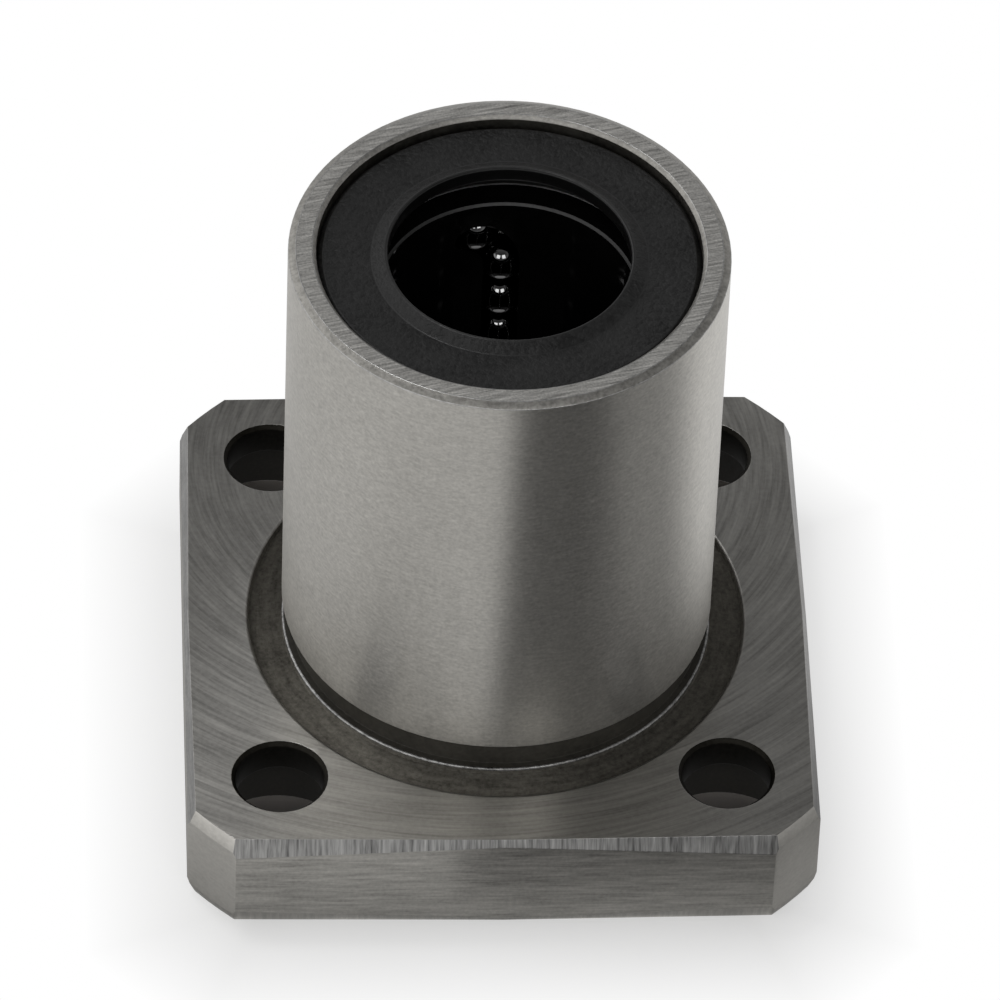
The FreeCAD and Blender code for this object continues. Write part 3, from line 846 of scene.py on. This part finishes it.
def make_balls():
    tree = make_ball_tree()
    for node in frame["nodes"]:
        if "_balls_" in node:
            make_ball_group(node.replace("_balls_", "_row_"), node, node.replace("_balls_", "_group_"), tree)


def dress_retaining_rings():
    """The retaining rings keep their CAD form and get a spring steel finish."""
    for end in ("flange_end", "sleeve_end"):
        ring = frame["nodes"][f"{end}_retaining_ring"]
        ring.data.materials.clear()
        ring.data.materials.append(FINISHES["spring_steel"])


# The floor as it is seen: its open colour and a painted shadow colour where the flange and the screw holes
# cover it, and where its shadow runs into white
FLOOR_HALF = 4000.0
FLOOR_DROP = 0.02
OPEN_FLOOR = (0.93, 0.93, 0.925, 1.0)
UNDER_FLANGE_PAINTED_SHADOW = (0.46, 0.43, 0.41, 1.0)
COVER_INSET = 0.9
SHADE_FORWARD = 2.2
SHADE_START = -7.5
SHADE_END = 5.2

# The floor as the metal mirrors it, all a painted reflection: how light it is near the bearing, where painted
# shade darkens it, farther off, at the right, where painted light brightens it, and under the flange, where a
# painted glow lights the outer face that mirrors it, darker below the screw holes
SHADE_NEAR = 12.0
MIRRORED_FLOOR = 0.61
MIRRORED_SHADE = 0.33
CONTACT_REACH = 1.2
PAINTED_CONTACT_SHADE = 0.75
RIGHT_PAINTED_LIGHT = 1.47
UNDER_INSET = 0.2
UNDER_LIGHT = 0.58
HOLE_LIGHT = 0.13
HOLE_BLUR = 1.0

# The sky's light, and between which x, y or z of a direction each part of it changes
HORIZON_LIGHT = 0.62
UPPER_LIGHT = 0.2
LEFT_LIGHT = 1.1
FRONT_SHARE = 0.35
SKY_RISE = (0.1, 0.7)
FRONT_TURN = (-0.1, -0.5)
FRONT_RISE = (0.25, 0.45)
FRONT_WIDTH = (0.35, 0.55)
LEFT_TURN = (-0.33, -0.55)
LEFT_RISE = (0.72, 0.84)

# The painted dark reflection on the floor, seen only in the metal at the front right: the turns from its pivot
# at which it starts, thins and ends, and its distances
PAINTED_DARK_PIVOT = -5.0
PAINTED_DARK_LEFT = math.radians(7.9)
PAINTED_DARK_SOFT = math.radians(43)
PAINTED_DARK_THIN = math.radians(60)
PAINTED_DARK_FADE = math.radians(78)
PAINTED_DARK_RIGHT = math.radians(100)
PAINTED_DARK_THIN_SHARE = 0.6
PAINTED_DARK_NEAR = 1.0
PAINTED_DARK_FULL = 6.0
PAINTED_DARK_LEVEL = 0.02

# Where each lamp stands, the length of its side and its power in watts
LAMPS = {
    "left_softbox": ((-120.0, -360.0, 400.0), 155.0, 0.23),
    "right_softbox": ((120.0, -360.0, 400.0), 155.0, 0.23),
    "top_softbox": ((-122.0, 120.0, 493.0), 80.0, 0.25),
}
CAMERA_PLACE = (-23.5, -361.8, 383.9)
CAMERA_AIM = (0.0, 0.0, 14.3)
CAMERA_LEAN = math.radians(2.3)
CLIP_START = 10.0
FOCAL_PIXELS = 10200
FRAME_PIXELS = 1000
SENSOR_WIDTH = 36.0


def flat_panel(name, corners, material):
    mesh = bpy.data.meshes.new(name)
    mesh.from_pydata([Vector(corner) * MM for corner in corners], [], [range(len(corners))])
    mesh.materials.append(material)
    panel = bpy.data.objects.new(name, mesh)
    bpy.context.scene.collection.objects.link(panel)


def past_flange(tree, forward):
    """How far a floor point lies outside the flange's outline moved forward, less than 0 inside it."""
    x, y, _ = split(tree, spot_in_millimetres(tree))
    sides = [reckon(tree, "ABSOLUTE", part) for part in (x, reckon(tree, "ADD", y, forward))]
    past_corner = reckon(tree, "SUBTRACT", reckon(tree, "ADD", *sides), CORNER_SUM)
    corner = reckon(tree, "MULTIPLY", past_corner, math.sqrt(0.5))
    straight = reckon(tree, "SUBTRACT", reckon(tree, "MAXIMUM", *sides), HALF_SIDE)
    return reckon(tree, "MAXIMUM", straight, corner)


def round_front(tree):
    """The way from the painted dark reflection's pivot to a floor point: 0 straight to the front, more to the
    right.
    """
    x, y, _ = split(tree, spot_in_millimetres(tree))
    rightward = reckon(tree, "SUBTRACT", x, PAINTED_DARK_PIVOT)
    return reckon(tree, "ARCTAN2", rightward, reckon(tree, "MULTIPLY", y, -1.0))


def painted_dark_reflection(tree, across, reach):
    """How much of a floor point the painted dark reflection at the front right covers. Only the metal mirrors
    it.
    """
    cover = reckon(tree, "GREATER_THAN", across, PAINTED_DARK_LEFT)
    fades = (
        remap(tree, across, PAINTED_DARK_SOFT, PAINTED_DARK_THIN, 1.0, PAINTED_DARK_THIN_SHARE),
        remap(tree, across, PAINTED_DARK_FADE, PAINTED_DARK_RIGHT, 1.0, 0.0),
        remap(tree, reach, PAINTED_DARK_NEAR, PAINTED_DARK_FULL, 0.0, 1.0),
    )
    for fade in fades:
        cover = reckon(tree, "MULTIPLY", cover, fade)
    return cover


def make_floor():
    """A white floor that keeps the bearing's shadow, runs into white, and is clear from below. The metal
    mirrors it as a painted reflection, with painted shade and light in it.
    """
    material, tree, shader = new_material("white_floor")
    shader.inputs["Roughness"].default_value = 1.0
    shader.inputs["Specular IOR Level"].default_value = 0.0
    reach = past_flange(tree, 0.0)
    _, from_hole = screw_hole_steps(tree, BOLT_PLACE)
    in_hole = reckon(tree, "LESS_THAN", from_hole, HEAD_MOUTH_REACH)
    painted_shadow_mask = reckon(tree, "MAXIMUM", in_hole, reckon(tree, "LESS_THAN", reach, -COVER_INSET))
    # Painted shadow: the floor under the flange and in the screw holes is coloured darker
    write(tree, shader.inputs["Base Color"], mix_colours(tree, painted_shadow_mask, OPEN_FLOOR, UNDER_FLANGE_PAINTED_SHADOW))
    fade = remap(tree, past_flange(tree, SHADE_FORWARD), SHADE_START, SHADE_END, 0.0, 1.0)
    fade = reckon(tree, "MULTIPLY", fade, reckon(tree, "SUBTRACT", 1.0, painted_shadow_mask))
    white = place(tree, "ShaderNodeEmission", {"Color": (1.0, 1.0, 1.0, 1.0), "Strength": 1.0}).outputs[0]
    seen = place(tree, "ShaderNodeMixShader", {0: fade, 1: shader.outputs[0], 2: white}).outputs[0]

    # Painted shade in the reflection: darker near the bearing, and darker still right at its foot
    shade = remap(tree, reach, 0.0, SHADE_NEAR, MIRRORED_SHADE, MIRRORED_FLOOR)
    shade = reckon(tree, "MULTIPLY", shade, remap(tree, reach, 0.0, CONTACT_REACH, PAINTED_CONTACT_SHADE, 1.0))
    across = round_front(tree)
    # Painted light in the reflection: the mirrored floor is brighter towards the right
    shade = reckon(tree, "MULTIPLY", shade, remap(tree, across, PAINTED_DARK_FADE, PAINTED_DARK_RIGHT, 1.0, RIGHT_PAINTED_LIGHT))
    # Painted reflection: a dark patch on the mirrored floor darkens the metal's reflection at the front right
    dark_reflection_share = painted_dark_reflection(tree, across, reach)
    darker = reckon(tree, "SUBTRACT", PAINTED_DARK_LEVEL, shade)
    shade = reckon(tree, "ADD", shade, reckon(tree, "MULTIPLY", dark_reflection_share, darker))
    # Painted light: under the flange the mirrored floor glows, so the outer face looks lit in views from
    # below, less below the screw holes
    hole_rim = (HEAD_BORE_REACH - HOLE_BLUR, HEAD_BORE_REACH + HOLE_BLUR)
    below = remap(tree, from_hole, *hole_rim, HOLE_LIGHT, UNDER_LIGHT)
    under = reckon(tree, "MULTIPLY", below, reckon(tree, "LESS_THAN", reach, -UNDER_INSET))
    level = reckon(tree, "MAXIMUM", shade, under)
    painted_reflection = place(tree, "ShaderNodeEmission", {"Strength": level}).outputs[0]
    path = place(tree, "ShaderNodeLightPath").outputs
    in_metal = reckon(tree, "MAXIMUM", path["Is Glossy Ray"], path["Is Transmission Ray"])
    lit = place(tree, "ShaderNodeMixShader", {0: in_metal, 1: seen, 2: painted_reflection}).outputs[0]

    clear = place(tree, "ShaderNodeBsdfTransparent").outputs[0]
    back = place(tree, "ShaderNodeNewGeometry").outputs["Backfacing"]
    shown = place(tree, "ShaderNodeMixShader", {0: back, 1: lit, 2: clear}).outputs[0]
    write(tree, tree.nodes["Material Output"].inputs["Surface"], shown)
    signs = ((-1, -1), (1, -1), (1, 1), (-1, 1))
    corners = [(right * FLOOR_HALF, away * FLOOR_HALF, -FLOOR_DROP) for right, away in signs]
    flat_panel("floor", corners, material)


def make_sky():
    """White behind the bearing. Its light is grey, dimmer higher up and in front, and bright at the left."""
    world = bpy.data.worlds.new("studio")
    bpy.context.scene.world = world
    world.use_nodes = True
    tree = world.node_tree
    x, y, z = split(tree, place(tree, "ShaderNodeTexCoord").outputs["Generated"])
    sides = remap(tree, z, *SKY_RISE, HORIZON_LIGHT, UPPER_LIGHT)
    in_front = remap(tree, y, *FRONT_TURN, 0.0, 1.0)
    raised = remap(tree, z, *FRONT_RISE, 0.0, 1.0)
    central = remap(tree, reckon(tree, "ABSOLUTE", x), *FRONT_WIDTH, 1.0, 0.0)
    towards_front = reckon(tree, "MULTIPLY", reckon(tree, "MULTIPLY", in_front, raised), central)
    dimmed = remap(tree, towards_front, 0.0, 1.0, 1.0, FRONT_SHARE)
    light = reckon(tree, "MULTIPLY", sides, dimmed)
    at_left = remap(tree, x, *LEFT_TURN, 0.0, LEFT_LIGHT)
    from_left = reckon(tree, "MULTIPLY", at_left, remap(tree, z, *LEFT_RISE, 1.0, 0.0))
    light = reckon(tree, "MAXIMUM", light, from_left)
    behind = place(tree, "ShaderNodeLightPath").outputs["Is Camera Ray"]
    level = reckon(tree, "MAXIMUM", behind, light)
    write(tree, tree.nodes["Background"].inputs["Strength"], level)
    tree.nodes["Background"].inputs["Color"].default_value = (1.0, 1.0, 1.0, 1.0)


def make_lamps():
    """Two softboxes in front, one to each side, and a smaller one high up behind the bearing at the left."""
    for name, (spot, side, power) in LAMPS.items():
        light = bpy.data.lights.new(name, "AREA")
        light.shape = "SQUARE"
        light.size = side * MM
        light.energy = power
        lamp = bpy.data.objects.new(name, light)
        lamp.location = Vector(spot) * MM
        lamp.rotation_euler = (-Vector(spot)).to_track_quat("-Z", "Y").to_euler()
        bpy.context.scene.collection.objects.link(lamp)


def make_camera():
    data = bpy.data.cameras.new("camera")
    data.sensor_width = SENSOR_WIDTH
    data.lens = SENSOR_WIDTH * FOCAL_PIXELS / FRAME_PIXELS
    data.clip_start = CLIP_START * MM
    camera = bpy.data.objects.new("camera", data)
    looking = Vector(CAMERA_AIM) - Vector(CAMERA_PLACE)
    turn = looking.to_track_quat("-Z", "Y").to_matrix() @ Matrix.Rotation(CAMERA_LEAN, 3, "Z")
    camera.matrix_world = Matrix.Translation(Vector(CAMERA_PLACE) * MM) @ turn.to_4x4()
    bpy.context.scene.collection.objects.link(camera)
    bpy.context.scene.camera = camera


make_flanged_sleeve()
make_wiper("flange_end", back_corner=1, inward=-1)
make_wiper("sleeve_end", back_corner=0, inward=1)
make_cage()
make_balls()
dress_retaining_rings()
make_floor()
make_sky()
make_lamps()
make_camera()
bpy.context.scene.view_settings.view_transform = "Standard"
